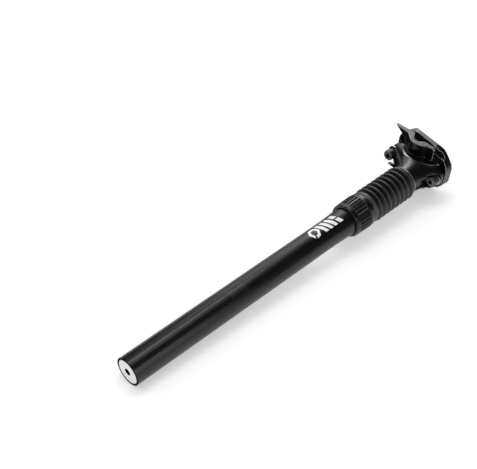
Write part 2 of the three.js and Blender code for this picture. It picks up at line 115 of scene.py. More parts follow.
def prism(name, outline, low, high, axis):
    """A 2-D outline spread along one axis; the outline's own axes are the other two, in order."""
    def at(u, v, w):
        return {"X": (w, u, v), "Y": (u, w, v), "Z": (u, v, w)}[axis]
    rows = [[at(u, v, w) for u, v in outline] for w in (low, high)]
    return from_rows(name, rows)


def rod(name, centre, axis, low, high, radius, segments=96):
    u, v = centre
    outline = [(u + radius * math.cos(TAU * k / segments), v + radius * math.sin(TAU * k / segments))
               for k in range(segments)]
    return prism(name, outline, low, high, axis)


def block(x, y, z):
    return prism("block", [(x[0], y[0]), (x[1], y[0]), (x[1], y[1]), (x[0], y[1])], z[0], z[1], "Z")


def bake_modifiers(obj):
    graph = bpy.context.evaluated_depsgraph_get()
    mesh = bpy.data.meshes.new_from_object(obj.evaluated_get(graph))
    old = obj.data
    obj.modifiers.clear()
    obj.data = mesh
    bpy.data.meshes.remove(old)


def combine(obj, tools, operation="DIFFERENCE"):
    for tool in tools:
        modifier = obj.modifiers.new("combine", "BOOLEAN")
        modifier.operation = operation
        modifier.solver = "EXACT"
        modifier.object = tool
        bake_modifiers(obj)
        bpy.data.objects.remove(tool)
    return obj


def soften(obj, voxel, rounds, keep=0.5):
    """Turns hard edges into small fillets, as on a forged and tumbled part."""
    remesh = obj.modifiers.new("remesh", "REMESH")
    remesh.mode = "VOXEL"
    remesh.voxel_size = voxel * MM
    smooth = obj.modifiers.new("smooth", "SMOOTH")
    smooth.factor = 0.5
    smooth.iterations = rounds
    thin = obj.modifiers.new("thin", "DECIMATE")
    thin.ratio = keep
    bake_modifiers(obj)
    return obj


def bezier(points, steps):
    """Points along a Bezier curve of any degree, without its first point."""
    found = []
    for k in range(1, steps + 1):
        t = k / steps
        level = [Vector(p) for p in points]
        while len(level) > 1:
            level = [a.lerp(b, t) for a, b in zip(level, level[1:])]
        found.append(tuple(level[0]))
    return found


def arc(cx, cy, radius, start, end, steps):
    return [(cx + radius * math.cos(start + (end - start) * k / steps),
             cy + radius * math.sin(start + (end - start) * k / steps)) for k in range(steps + 1)]


def slot_outline(x, half_length, radius):
    return (arc(x + half_length, 0, radius, -math.pi / 2, math.pi / 2, 20)
            + arc(x - half_length, 0, radius, math.pi / 2, 1.5 * math.pi, 20))


def smooth_shading(obj, degrees=35):
    for face in obj.data.polygons:
        face.use_smooth = True
    obj.data.set_sharp_from_angle(angle=math.radians(degrees))


def finished(obj, body, slot, material, *nodes):
    obj.data.materials.clear()
    obj.data.materials.append(material)
    smooth_shading(obj)
    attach(obj, body)
    if nodes:
        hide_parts(*nodes)
    return obj


# ---------- finishes ----------
def scaled(nodes, links, coordinates, scale):
    mapping = nodes.new("ShaderNodeMapping")
    mapping.inputs["Scale"].default_value = scale
    links.new(coordinates, mapping.inputs["Vector"])
    return mapping.outputs["Vector"]


def noise(nodes, links, vector, scale, detail=3.0, roughness=0.6):
    tex = nodes.new("ShaderNodeTexNoise")
    tex.inputs["Scale"].default_value = scale
    tex.inputs["Detail"].default_value = detail
    tex.inputs["Roughness"].default_value = roughness
    links.new(vector, tex.inputs["Vector"])
    return tex.outputs["Fac"]


def remapped(nodes, links, value, low, high, to_low, to_high):
    node = nodes.new("ShaderNodeMapRange")
    for key, number in (("From Min", low), ("From Max", high), ("To Min", to_low), ("To Max", to_high)):
        node.inputs[key].default_value = number
    links.new(value, node.inputs["Value"])
    return node.outputs["Result"]


def mixed(nodes, links, factor, a, b):
    node = nodes.new("ShaderNodeMix")
    node.data_type = "RGBA"
    links.new(factor, node.inputs["Factor"])
    for socket, value in ((node.inputs["A"], a), (node.inputs["B"], b)):
        if isinstance(value, (tuple, list)):
            socket.default_value = (*value, 1)
        else:
            links.new(value, socket)
    return node.outputs["Result"]


def math_node(nodes, links, operation, a, b=None):
    node = nodes.new("ShaderNodeMath")
    node.operation = operation
    for socket, value in zip(node.inputs, (a, b)):
        if value is None:
            continue
        if isinstance(value, (int, float)):
            socket.default_value = value
        else:
            links.new(value, socket)
    return node.outputs[0]


def separated(nodes, links, vector):
    split = nodes.new("ShaderNodeSeparateXYZ")
    links.new(vector, split.inputs[0])
    return split.outputs


def seat_rim_highlight(nodes, links, coordinates):
    """Up to 1 on the bevel of the head's seat, where a highlight is painted, strongest on its rear half and
    down to 0.12 toward the front; else 0.
    """
    x, y, z = separated(nodes, links, coordinates)
    flat = nodes.new("ShaderNodeCombineXYZ")
    links.new(math_node(nodes, links, "SUBTRACT", x, SETBACK_X * MM), flat.inputs[0])
    links.new(math_node(nodes, links, "SUBTRACT", z, PIVOT_Z * MM), flat.inputs[2])
    length = nodes.new("ShaderNodeVectorMath")
    length.operation = "LENGTH"
    links.new(flat.outputs[0], length.inputs[0])
    reach = length.outputs["Value"]
    across = math_node(nodes, links, "ABSOLUTE", y)
    # each limit: what is measured, where the painted highlight starts to show, where it is full, the least it
    # shows
    limits = ((across, BEVEL_Y, BEVEL_Y + 0.5, 0), (x, SETBACK_X + 6, SETBACK_X - 4, 0.12),
              (reach, SEAT_R + 0.2, SEAT_R + 0.5, 0), (reach, SEAT_R + 2.5, SEAT_R + 2.1, 0))
    mask = 1.0
    for measure, start, full, least in limits:
        inside = remapped(nodes, links, measure, start * MM, full * MM, least, 1)
        mask = math_node(nodes, links, "MULTIPLY", inside, mask)
    return mask


def surface(name, base, light, metallic, rough, spread, grain, grain_stretch=(1, 1, 1), bump=0.15,
            depth=0.00002, edge_highlight=None, specular=0.5, dust=None, socket_shade_radius=None, matt_below=None, rim_highlight=None):
    """A node material: two-tone colour clouds, grained roughness and bump, and on some finishes more.

    edge is (colour, pointiness where it starts, where it is full): a painted highlight in that colour on
    sharp edges, and painted shade that darkens hollows to near black.
    dust is the colour of settled specks. hollow is a radius round Z, in metres, inside which the
    colour turns black: painted shade in the plug's socket. matt_below is a height in metres under which
    the gloss is lost. rim is the colour of a painted highlight on the bevel round the head's seat.
    """
    material = bpy.data.materials.new(name)
    material.use_nodes = True
    nodes, links = material.node_tree.nodes, material.node_tree.links
    shader = nodes["Principled BSDF"]
    shader.inputs["Metallic"].default_value = metallic
    shader.inputs["Specular IOR Level"].default_value = specular
    coordinates = nodes.new("ShaderNodeTexCoord").outputs["Object"]
    clouds = noise(nodes, links, coordinates, 45.0, 4.0)
    colour = mixed(nodes, links, remapped(nodes, links, clouds, 0.35, 0.68, 0, 1), base, light)
    streaks = noise(nodes, links, scaled(nodes, links, coordinates, grain_stretch), grain, 4.0, 0.65)
    roughness = remapped(nodes, links, streaks, 0.3, 0.7, rough - spread, rough + spread)
    if dust:
        grains = noise(nodes, links, coordinates, 2600.0, 2.0, 0.5)
        specks = remapped(nodes, links, grains, 0.66, 0.74, 0, 0.55)
        patches = remapped(nodes, links, noise(nodes, links, coordinates, 120.0, 2.0), 0.5, 0.7, 0, 1)
        colour = mixed(nodes, links, math_node(nodes, links, "MULTIPLY", specks, patches), colour, dust)
    if edge_highlight:
        tone, start, full = edge_highlight
        sharpness = nodes.new("ShaderNodeNewGeometry").outputs["Pointiness"]
        # painted shade: where pointiness is low, in hollows, the colour darkens to near black and the surface
        # is made rougher
        hollow_shade = remapped(nodes, links, sharpness, 0.44, 0.497, 0.9, 0)
        colour = mixed(nodes, links, hollow_shade, colour, (0.0006, 0.0006, 0.0006))
        rougher = math_node(nodes, links, "MULTIPLY", hollow_shade, 0.4)
        roughness = math_node(nodes, links, "ADD", roughness, rougher)
        # painted highlight: where pointiness is high, on sharp edges, the colour turns pale, broken up by
        # noise
        edge_highlight_share = remapped(nodes, links, sharpness, start, full, 0, 1)
        broken = remapped(nodes, links, noise(nodes, links, coordinates, 700.0, 3.0), 0.35, 0.6, 0.25, 1)
        edge_highlight_share = math_node(nodes, links, "MULTIPLY", edge_highlight_share, broken)
        colour = mixed(nodes, links, edge_highlight_share, colour, tone)
    # painted shade: inside a radius round Z, over the plug's socket, the colour turns near black
    if socket_shade_radius:
        x, y, _ = separated(nodes, links, coordinates)
        square = math_node(nodes, links, "ADD", math_node(nodes, links, "MULTIPLY", x, x),
                           math_node(nodes, links, "MULTIPLY", y, y))
        inside = math_node(nodes, links, "LESS_THAN", square, socket_shade_radius * socket_shade_radius)
        colour = mixed(nodes, links, inside, colour, (0.004, 0.004, 0.004))
    # painted highlight: a pale colour laid on the bevel of the head's seat
    if rim_highlight:
        colour = mixed(nodes, links, seat_rim_highlight(nodes, links, coordinates), colour, rim_highlight)
    if matt_below is not None:
        height = separated(nodes, links, coordinates)[2]
        gloss = remapped(nodes, links, height, matt_below, matt_below + 0.0003, 0.0, specular)
        links.new(gloss, shader.inputs["Specular IOR Level"])
    links.new(colour, shader.inputs["Base Color"])
    links.new(roughness, shader.inputs["Roughness"])
    bumped = nodes.new("ShaderNodeBump")
    bumped.inputs["Strength"].default_value = bump
    bumped.inputs["Distance"].default_value = depth
    links.new(streaks, bumped.inputs["Height"])
    links.new(bumped.outputs["Normal"], shader.inputs["Normal"])
    return material


# the pale colours given below for sharp edges are painted highlights, and they also bring painted shade into
# hollows
EDGE_HIGHLIGHT_GREY = (0.50, 0.50, 0.51)
ANODISED = surface("anodised_tube", (0.002, 0.002, 0.0021), (0.004, 0.004, 0.0042), 0.0, 0.31, 0.05,
                   1500.0, (1, 1, 0.03), bump=0.10, specular=0.42, dust=(0.05, 0.05, 0.05), matt_below=0.0001)
COLLAR = surface("anodised_collar", (0.002, 0.002, 0.0022), (0.004, 0.004, 0.0043), 0.0, 0.29, 0.05,
                 1800.0, (1, 1, 0.2), edge_highlight=((0.05, 0.05, 0.051), 0.53, 0.58), specular=0.42)
# the forging: a painted highlight on the seat's bevel, in the pale colour given last
FORGED = surface("anodised_forging", (0.002, 0.002, 0.0021), (0.004, 0.004, 0.0042), 0.0, 0.27, 0.05,
                 900.0, bump=0.08, depth=0.00003, edge_highlight=((0.42, 0.42, 0.425), 0.56, 0.61), specular=0.5,
                 rim_highlight=(0.72, 0.72, 0.725))
CLAMP = surface("anodised_clamp", (0.002, 0.002, 0.0021), (0.004, 0.004, 0.0042), 0.0, 0.24, 0.05,
                1100.0, (0.25, 1, 1), bump=0.2, depth=0.00003,
                edge_highlight=((0.55, 0.55, 0.555), 0.513, 0.545), specular=0.55)
RUBBER = surface("moulded_rubber", (0.003, 0.003, 0.003), (0.0055, 0.0055, 0.0054), 0.0, 0.42, 0.06,
                 1600.0, bump=0.3, depth=0.00004, edge_highlight=((0.11, 0.11, 0.109), 0.512, 0.545),
                 specular=0.45, dust=(0.05, 0.05, 0.049))
# the white plug: painted shade, a black disc over its socket
WHITE_PLASTIC = surface("moulded_white", (0.92, 0.92, 0.91), (0.96, 0.96, 0.95), 0.0, 0.42, 0.06,
                        900.0, bump=0.12, depth=0.00003, socket_shade_radius=0.00352)
PRINT = surface("white_print", (0.88, 0.88, 0.88), (0.95, 0.95, 0.95), 0.0, 0.45, 0.08, 2400.0, bump=0.2)
ETCHED = surface("etched_grey", (0.07, 0.07, 0.072), (0.12, 0.12, 0.123), 0.5, 0.42, 0.08, 2400.0, bump=0.2)
BLACK_STEEL = surface("black_oxide_steel", (0.006, 0.006, 0.0062), (0.012, 0.0118, 0.0118), 0.3, 0.26, 0.07,
                      1400.0, bump=0.25, depth=0.00003, edge_highlight=(EDGE_HIGHLIGHT_GREY, 0.53, 0.59), specular=1.0)
NUT_STEEL = surface("black_oxide_nut", (0.006, 0.006, 0.0062), (0.012, 0.0118, 0.0118), 0.3, 0.28, 0.07,
                    1400.0, bump=0.25, depth=0.00003, specular=0.7, dust=(0.10, 0.10, 0.10))
STEEL = surface("ground_steel", (0.50, 0.50, 0.51), (0.60, 0.60, 0.61), 1.0, 0.26, 0.06,
                1600.0, (1, 1, 0.06))
BRIGHT_RING = surface("turned_ring", (0.32, 0.32, 0.325), (0.38, 0.38, 0.385), 0.8, 0.28, 0.03,
                      500.0, (0.1, 0.1, 1))
SPRING_STEEL = surface("oiled_spring_steel", (0.18, 0.18, 0.18), (0.30, 0.29, 0.28), 1.0, 0.34, 0.08, 900.0)
POLYMER = surface("grey_acetal", (0.055, 0.058, 0.062), (0.075, 0.078, 0.084), 0.0, 0.50, 0.06, 1200.0)
ELASTOMER = surface("amber_urethane", (0.24, 0.14, 0.035), (0.32, 0.20, 0.06), 0.0, 0.48, 0.08, 800.0)

NODE_FINISH = {
    "outer_tube": ANODISED, "preload_plug": WHITE_PLASTIC, "spring_seat": STEEL,
    "upper_bushing": POLYMER, "key_a": STEEL, "key_b": STEEL, "key_c": STEEL, "wiper_seal": RUBBER,
    "stanchion": STEEL, "guide_bushing": POLYMER, "spring_guide": POLYMER, "bump_rubber": ELASTOMER,
    "barrel_nut_front": NUT_STEEL, "barrel_nut_rear": NUT_STEEL,
    "washer_front": STEEL, "washer_rear": STEEL,
}
for node_name, finish in NODE_FINISH.items():
    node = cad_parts[node_name]
    node.data.materials.clear()
    node.data.materials.append(finish)
    smooth_shading(node, 30)


# ---------- collar, boot and its ring ----------
FLUTES = 30
COLLAR_GROWTH = 0.3              # the grip stands this far outside its plain CAD stand-in
FLUTE_Z0, FLUTE_Z1 = COLLAR_Z + 4.6, COLLAR_TOP - 6.9
FLUTE_FADE, FLUTE_FADE_REACH = 1.6, 1.2
GROOVE_SHARE, GROOVE_DEPTH = 0.62, 0.95


def collar_shape(r, z, angle):
    """Rounded saw-tooth flutes that fade out at both ends of the grip."""
    low, high = FLUTE_Z0 - FLUTE_FADE_REACH, FLUTE_Z1 + FLUTE_FADE_REACH
    if r < 15.5 or not low < z < high:
        return r
    fade = min(1.0, (z - low) / FLUTE_FADE, (high - z) / FLUTE_FADE)
    share = (angle * FLUTES / TAU) % 1.0
    groove = math.sin(math.pi * share / GROOVE_SHARE) ** 0.7 if share < GROOVE_SHARE else 0.0
    return r - GROOVE_DEPTH * fade * groove


def build_collar():
    outer = [(16.15, COLLAR_Z), (16.6, COLLAR_Z + 0.25), (16.9, COLLAR_Z + 0.9), (17.05, COLLAR_Z + 2.4),
             (17.1, COLLAR_Z + 3.4)]
    steps = 26
    for k in range(steps + 1):
        z = COLLAR_Z + 3.6 + (FLUTE_Z1 + 1.3 - COLLAR_Z - 3.6) * k / steps
        outer.append((17.15 + 0.4 * k / steps, z))
    outer += [(17.5, COLLAR_TOP - 5.2), (17.2, COLLAR_TOP - 4.7), (17.15, COLLAR_TOP - 2.2),
              (16.95, COLLAR_TOP - 0.9), (16.4, COLLAR_TOP - 0.2), (15.9, COLLAR_TOP)]
    outer = [(r + COLLAR_GROWTH, z) for r, z in outer]
    inner = [(11.9, COLLAR_TOP), (11.9, COLLAR_TOP - 3.6), (14.7, COLLAR_TOP - 3.6), (14.7, COLLAR_Z)]
    obj = lathe("collar_fluted", outer + inner, FLUTES * 12, True, collar_shape)
    return finished(obj, "post", "collar", COLLAR, "collar_nut")


BOOT_FOLDS = 8
BAND_H = 4.9
FOLD_LEAN = 1.35                 # over 1 moves each fold's crest toward the head
VALLEY_R, CREST_R = 14.35, 17.8
VALLEY_WALL, CREST_WALL = 0.8, 1.25


def boot_profile():
    """Outer skin with a flat lower band and eight rounded folds, then the inner skin back down."""
    start, end = BOOT_Z0 + BAND_H, BOOT_TOP - 1.3
    outer = [(15.9, BOOT_Z0), (16.5, BOOT_Z0 + 0.2), (16.8, BOOT_Z0 + 0.7), (16.9, BOOT_Z0 + 2.2),
             (16.85, BOOT_Z0 + 3.9), (16.5, BOOT_Z0 + 4.5)]
    inner = []
    per_fold = 16
    for k in range(BOOT_FOLDS * per_fold + 1):
        share = k / (BOOT_FOLDS * per_fold)
        phase = (BOOT_FOLDS * share) % 1.0 if k < BOOT_FOLDS * per_fold else 1.0
        wave = math.sin(math.pi * phase ** FOLD_LEAN) ** 0.9
        z = start + (end - start) * share
        outer.append((VALLEY_R + (CREST_R - VALLEY_R) * wave, z))
        wall = VALLEY_WALL + (CREST_WALL - VALLEY_WALL) * wave
        inner.append((outer[-1][0] - wall, z))
    outer += [(15.7, BOOT_TOP - 1.1), (16.1, BOOT_TOP - 0.8), (16.2, BOOT_TOP - 0.3), (15.9, BOOT_TOP)]
    return outer + [(14.1, BOOT_TOP)] + inner[::-1] + [(14.1, BOOT_Z0)]


def build_boot():
    obj = lathe("boot_folded", boot_profile(), 96, True)
    finished(obj, "post", "rubber", RUBBER, "boot")
    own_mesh(obj)
    return obj


def build_boot_ring():
    low, high = BOOT_TOP + GAP, NECK_Z - GAP
    profile = [(11.4, low), (16.0, low), (16.3, low + 0.2), (16.4, (low + high) / 2), (16.3, high - 0.2),
               (16.0, high), (11.4, high)]
    obj = lathe("boot_ring_turned", profile, 128, True)
    return finished(obj, "slider", "bright_ring", BRIGHT_RING, "boot_ring")


# ---------- main spring ----------
def build_spring():
    low, high, wire, coil, turns = 11.8, 205.7, 1.3, 7.3, 13
    rows, along = [], Vector((0, 0, 1))
    around = [TAU * j / 10 for j in range(10)]
    steps = turns * 36
    length = high - low - 2 * wire
    for k in range(steps + 1):
        angle = TAU * turns * k / steps
        out = Vector((math.cos(angle), math.sin(angle), 0))
        centre = coil * out + (low + wire + length * k / steps) * along
        rows.append([tuple(centre + wire * (math.cos(a) * out + math.sin(a) * along)) for a in around])
    obj = from_rows("spring_coiled", rows)
    finished(obj, "post", "spring_steel", SPRING_STEEL, "coil_spring")
    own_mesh(obj)
    return obj


# ---------- head ----------
HEAD_LEVELS = [
    (356.2, 0, 15.3, 15.3, 2), (361, -0.2, 15.5, 15.5, 2), (367, -1, 17, 15.8, 2.1),
    (372.5, -2.6, 20.8, 16.1, 2.1), (377.5, -4.8, 26, 16.4, 2.15), (382, -6.2, 30.4, 16.4, 2.25),
    (386, -7, 32.6, 16.2, 2.4), (388.8, -7.1, 32.4, 15.8, 2.5), (390.6, -7.2, 31.2, 14.8, 2.5),
]


def level_at(height):
    """The head's level cut at a height, on a smooth curve through the listed ones."""
    zs = [level[0] for level in HEAD_LEVELS]
    i = max(k for k in range(len(zs) - 1) if zs[k] <= height + 1e-6)
    t = (height - zs[i]) / (zs[i + 1] - zs[i])
    found = []
    for column in range(1, 5):
        values = [level[column] for level in HEAD_LEVELS]
        def slope(k):
            a, b = max(k - 1, 0), min(k + 1, len(zs) - 1)
            return (values[b] - values[a]) / (zs[b] - zs[a]) * (zs[i + 1] - zs[i])
        p0, p1, m0, m1 = values[i], values[i + 1], slope(i), slope(i + 1)
        found.append((2 * t**3 - 3 * t**2 + 1) * p0 + (t**3 - 2 * t**2 + t) * m0
                     + (3 * t**2 - 2 * t**3) * p1 + (t**3 - t**2) * m1)
    return found


def seat_tool():
    """The seat's cylinder, opening out at both sides to bevel the flanks' upper edges."""
    rows = []
    for y, r in ((-20, SEAT_R + 4.6), (-16.6, SEAT_R + 2.6), (-BEVEL_Y, SEAT_R), (BEVEL_Y, SEAT_R),
                 (16.6, SEAT_R + 2.6), (20, SEAT_R + 4.6)):
        rows.append([(u, y, v) for u, v in arc(SETBACK_X, PIVOT_Z, r, 0, TAU * 239 / 240, 239)])
    return from_rows("seat", rows)


def build_head():
    rows, segments, steps = [], 160, 70
    low, high = HEAD_LEVELS[0][0], HEAD_LEVELS[-1][0]
    for k in range(steps + 1):
        z = low + (high - low) * k / steps
        cx, half_x, half_y, power = level_at(z)
        row = []
        for j in range(segments):
            c, s = math.cos(TAU * j / segments), math.sin(TAU * j / segments)
            x = math.copysign(abs(c) ** (2 / power), c) * half_x
            y = math.copysign(abs(s) ** (2 / power), s) * half_y
            row.append((cx + x, y, z))
        rows.append(row)
    obj = from_rows("head_forged", rows)
    tools = [seat_tool(),
             rod("socket", (0, 0), "Z", NECK_Z - 5, STANCHION_TOP + GAP, STANCHION_R + GAP, 96)]
    for x in (FRONT_X, REAR_X):
        tools.append(prism("slot", slot_outline(x, 1.2, 3.5), 370, 400, "Z"))
        tools.append(rod("pocket", (x, 0), "Z", POCKET_Z, EAR_UNDER_Z, POCKET_R, 96))
        tools.append(rod("access", (x, 0), "Z", 350, POCKET_Z + 1, ACCESS_R, 96))
    combine(obj, tools)
    soften(obj, 0.42, 5, 0.45)
    return finished(obj, "slider", "forged", FORGED, "head")


# ---------- lower cradle ----------
def wave_outline():
    top, ledge, low = WING_TOP, WING_TOP - 5, WING_TOP - 9.5
    points = [(WING_TIP_X, top), (-24.5, top)]
    points += bezier([(-24.5, top), (-21.5, top), (-22.5, low), (-16, low)], 20)
    points += bezier([(-16, low), (-10.5, low), (-11.5, ledge), (-6, ledge)], 20)
    points += [(6, ledge), (6, ledge - 4), (-3, ledge - 4)]
    points += bezier([(-3, ledge - 4), (-7, low - 4.5), (-12, low - 4.5), (-16, low - 4.5)], 16)
    points += bezier([(-16, low - 4.5), (-23, low - 4.5), (-26, top - WING_T), (-31, top - WING_T)], 20)
    return points + [(WING_TIP_X, top - WING_T + 2)]


def cradle_plan():
    y = WING_Y
    half = [(-29, 12), (-31, 18), (WING_TIP_X, y), (4, y)]
    half += bezier([(4, y), (6, y), (7, y - 3)], 8) + [(13.5, 12)]
    return half + [(u, -v) for u, v in reversed(half)]


def seat_clearance():
    return ([(SETBACK_X - 45, 360), (SETBACK_X + 45, 360), (SETBACK_X + 45, 395), (SETBACK_X + 24, 395)]
            + arc(SETBACK_X, PIVOT_Z, SEAT_R - GAP, -0.28, -math.pi + 0.28, 60) + [(SETBACK_X - 45, 395)])


def cradle_core():
    r, reach = SEAT_R - GAP, 22.5
    angle = math.acos(reach / r)
    return ([(SETBACK_X + reach, WING_TOP - 6.8), (SETBACK_X - reach, WING_TOP - 6.8)]
            + arc(SETBACK_X, PIVOT_Z, r, math.pi + angle, TAU - angle, 60))


def build_cradle():
    obj = prism("cradle_forged", wave_outline(), -WING_Y, WING_Y, "Y")
    combine(obj, [prism("plan", cradle_plan(), 360, 400, "Z")], "INTERSECT")
    combine(obj, [prism("clearance", seat_clearance(), -16.6, 16.6, "Y")])
    combine(obj, [prism("core", cradle_core(), -12.5, 12.5, "Y")], "UNION")
    tools = [rod("rail", (y, RAIL_Z), "X", -50, 20, RAIL_R, 96) for y in (-RAIL_Y, RAIL_Y)]
    tools.append(block((SETBACK_X - 15, SETBACK_X + 15), (-8, 8), (384, 400)))
    combine(obj, tools)
    soften(obj, 0.38, 3, 0.45)
    pivot = Vector((SETBACK_X, 0, PIVOT_Z)) * MM
    turn = Matrix.Rotation(math.radians(CRADLE_TILT), 4, "Y")
    obj.data.transform(Matrix.Translation(pivot) @ turn @ Matrix.Translation(-pivot))
    return finished(obj, "cradle", "clamp_black", CLAMP, "lower_cradle")


# ---------- upper clamp ----------
def clamp_cross():
    y = CLAMP_Y
    half = ([(14, CLAMP_TOP), (y - 7, CLAMP_TOP - 0.6)]
            + bezier([(y - 7, CLAMP_TOP - 0.6), (y - 0.6, CLAMP_TOP - 1), (y, 4)], 12) + [(y, 0)])
    return [(-u, v) for u, v in reversed(half)] + half


def clamp_plan():
    x, y = CLAMP_HALF, CLAMP_Y
    quarter = ([(x, 7)] + bezier([(x, 7), (x, 13), (22.5, y - 4.5)], 16)
               + bezier([(22.5, y - 4.5), (18.5, y), (12.5, y)], 12))
    left = [(-u, v) for u, v in reversed(quarter)]
    top = quarter + left
    return top + [(u, -v) for u, v in reversed(top)]


def window_outline(y):
    half_x, half_y, r = 13, 6.2, 2.6
    outline = []
    for k, (side_x, side_y) in enumerate(((1, 1), (-1, 1), (-1, -1), (1, -1))):
        outline += arc(side_x * (half_x - r), y + side_y * (half_y - r), r,
                       k * math.pi / 2, (k + 1) * math.pi / 2, 10)
    return outline


def build_clamp():
    obj = prism("clamp_forged", clamp_cross(), -40, 40, "X")
    combine(obj, [prism("plan", clamp_plan(), -20, 20, "Z")], "INTERSECT")
    tools = [rod("rail", (y, -0.5), "X", -50, 50, RAIL_R, 96) for y in (-RAIL_Y, RAIL_Y)]
    tools.append(block((-20, 20), (-14, 14), (-1, 2.5)))
    tools += [prism("window", window_outline(y), -20, 20, "Z") for y in (-9, 9)]
    for x in (-BOLT_REACH, BOLT_REACH):
        tools.append(rod("barrel", (x, BARREL_UP), "Y", -11.5, 11.5, 5.3, 96))
        tools.append(block((x - 5.3, x + 5.3), (-11.5, 11.5), (BARREL_UP, 20)))
        tools.append(prism("slot", slot_outline(x, 1.9, 3.6), -20, 20, "Z"))
    combine(obj, tools)
    soften(obj, 0.38, 3, 0.45)
    lean = math.radians(CLAMP_TILT)
    place = Vector((SETBACK_X - BARREL_UP * math.sin(lean), 0, CLAMP_Z)) * MM
    obj.data.transform(Matrix.Translation(place) @ Matrix.Rotation(lean, 4, "Y"))
    return finished(obj, "clamp", "clamp_black", CLAMP, "upper_clamp")


# ---------- screws ----------
def build_screw(side, x, drop):
    """Socket-head screw: crossed knurl round the head, a hexagon socket and a 1 mm thread."""
    top = SCREW_HEAD_TOP - drop
    foot = top - HEAD_H
    end = top + SCREW_TOP - SCREW_HEAD_TOP
    profile = [(0.05, foot), (HEAD_R - 1.1, foot), (HEAD_R - 0.6, foot + 0.15), (HEAD_R - 0.3, foot + 0.6)]
    knurl = [(HEAD_R, foot + 1.2 + 0.2 * k) for k in range(25)]
    profile += knurl + [(HEAD_R - 0.3, top - 0.45), (HEAD_R - 0.5, top), (SCREW_R, top)]
    steps = int((end - top) * 6)
    profile += [(SCREW_R, top + (end - top - 0.9) * k / steps) for k in range(1, steps + 1)]
    profile += [(SCREW_R - 0.9, end), (0.05, end)]

    def shape(r, z, angle):
        if r == HEAD_R:
            turn, lean = 13 * angle, 3.4 * (z - foot)
            cross = abs(math.sin(turn + lean)) * abs(math.sin(turn - lean))
            return r - 0.35 * (1 - cross**0.5)
        if r == SCREW_R and top + 1.5 < z < end - 1:
            return r - 0.55 * abs(((z - angle / TAU) % 1.0) - 0.5)
        return r

    obj = lathe(f"screw_{side}_knurled", profile, 104, False, shape)
    hexagon = [(2.89 * math.cos(k * TAU / 6), 2.89 * math.sin(k * TAU / 6)) for k in range(6)]
    combine(obj, [prism("socket", hexagon, foot - 1, foot + 3.4, "Z")])
    obj.data.transform(Matrix.Translation(Vector((x, 0, 0)) * MM))
    return finished(obj, f"screw_{side}", "black_steel", BLACK_STEEL, f"clamp_screw_{side}")


# ---------- printed mark and insertion lines ----------
PRINT_PROUD, PRINT_DEPTH = 0.035, 0.06
FLARE_Z, FLARE_TOP, FLARE = 246.0, 266.0, 0.8


def tube_radius(z):
    return TUBE_R + FLARE * min(1.0, max(0.0, (z - FLARE_Z) / (FLARE_TOP - FLARE_Z)))


def wrapped(patches, around):
    """Thin curved plates on the tube: each patch is four corners (across, along) in millimetres."""
    points, faces = [], []
    n, m = 14, 4
    for corners in patches:
        a, b, c, d = (Vector(corner) for corner in corners)
        base = len(points)
        for proud in (PRINT_PROUD, PRINT_PROUD - PRINT_DEPTH):
            for i in range(n + 1):
                for j in range(m + 1):
                    p = a.lerp(b, i / n).lerp(d.lerp(c, i / n), j / m)
                    angle = around + p[0] / TUBE_R
                    r = tube_radius(p[1]) + proud
                    points.append((r * math.cos(angle), r * math.sin(angle), p[1]))
        size = (n + 1) * (m + 1)
        def at(layer, i, j):
            return base + layer * size + i * (m + 1) + j
        for i in range(n):
            for j in range(m):
                faces.append((at(0, i, j), at(0, i + 1, j), at(0, i + 1, j + 1), at(0, i, j + 1)))
                faces.append((at(1, i, j), at(1, i, j + 1), at(1, i + 1, j + 1), at(1, i + 1, j)))
            faces.append((at(0, i, 0), at(1, i, 0), at(1, i + 1, 0), at(0, i + 1, 0)))
            faces.append((at(0, i, m), at(0, i + 1, m), at(1, i + 1, m), at(1, i, m)))
        for j in range(m):
            faces.append((at(0, 0, j), at(0, 0, j + 1), at(1, 0, j + 1), at(1, 0, j)))
            faces.append((at(0, n, j), at(1, n, j), at(1, n, j + 1), at(0, n, j + 1)))
    return points, faces


def mark_patches():
    """A plain pattern: a six-sided ring, three slanted bars and a split bar."""
    patches = []
    centre, big, small = 223.4, 6.7, 3.6

    def spoke(radius, angle):
        return radius * math.sin(angle), centre + radius * math.cos(angle)
    for k in range(6):
        a0, a1 = TAU * k / 6, TAU * (k + 1) / 6
        if k == 1:
            a1 -= 0.35
        patches.append([spoke(big, a0), spoke(big, a1), spoke(small, a1), spoke(small, a0)])
    lean = 2.6
    for z in (231.4, 237.6, 243.8):
        patches.append([(-6.2, z - lean), (6.2, z + lean), (6.2, z + lean + 4.0), (-6.2, z - lean + 4.0)])
    for low, high in ((-6.2, -0.9), (0.9, 6.2)):
        shift = lean / 6.2
        z = 250.4
        patches.append([(low, z + low * shift), (high, z + high * shift), (high, z + high * shift + 4.6),
                        (low, z + low * shift + 4.6)])
    return patches


def build_marks():
    for side, around in (("right", math.radians(-94)), ("left", math.radians(86))):
        points, faces = wrapped(mark_patches(), around)
        finished(outward(from_points(f"mark_{side}", points, faces)), "post", "plastic", PRINT)
    ticks = []
    for k in range(9):
        half = 5.5 if k in (0, 8) else 3.2
        z = 113 + 2.0 * k
        ticks.append([(-half, z), (half, z), (half, z + 0.35), (-half, z + 0.35)])
    points, faces = wrapped(ticks, math.radians(-78))
    finished(outward(from_points("insertion_lines", points, faces)), "post", "steel", ETCHED)


build_collar()
build_boot()
build_boot_ring()
build_spring()
build_head()
build_cradle()
build_clamp()
build_screw("front", FRONT_X, 0.0)
build_screw("rear", REAR_X, REAR_DROP)
build_marks()

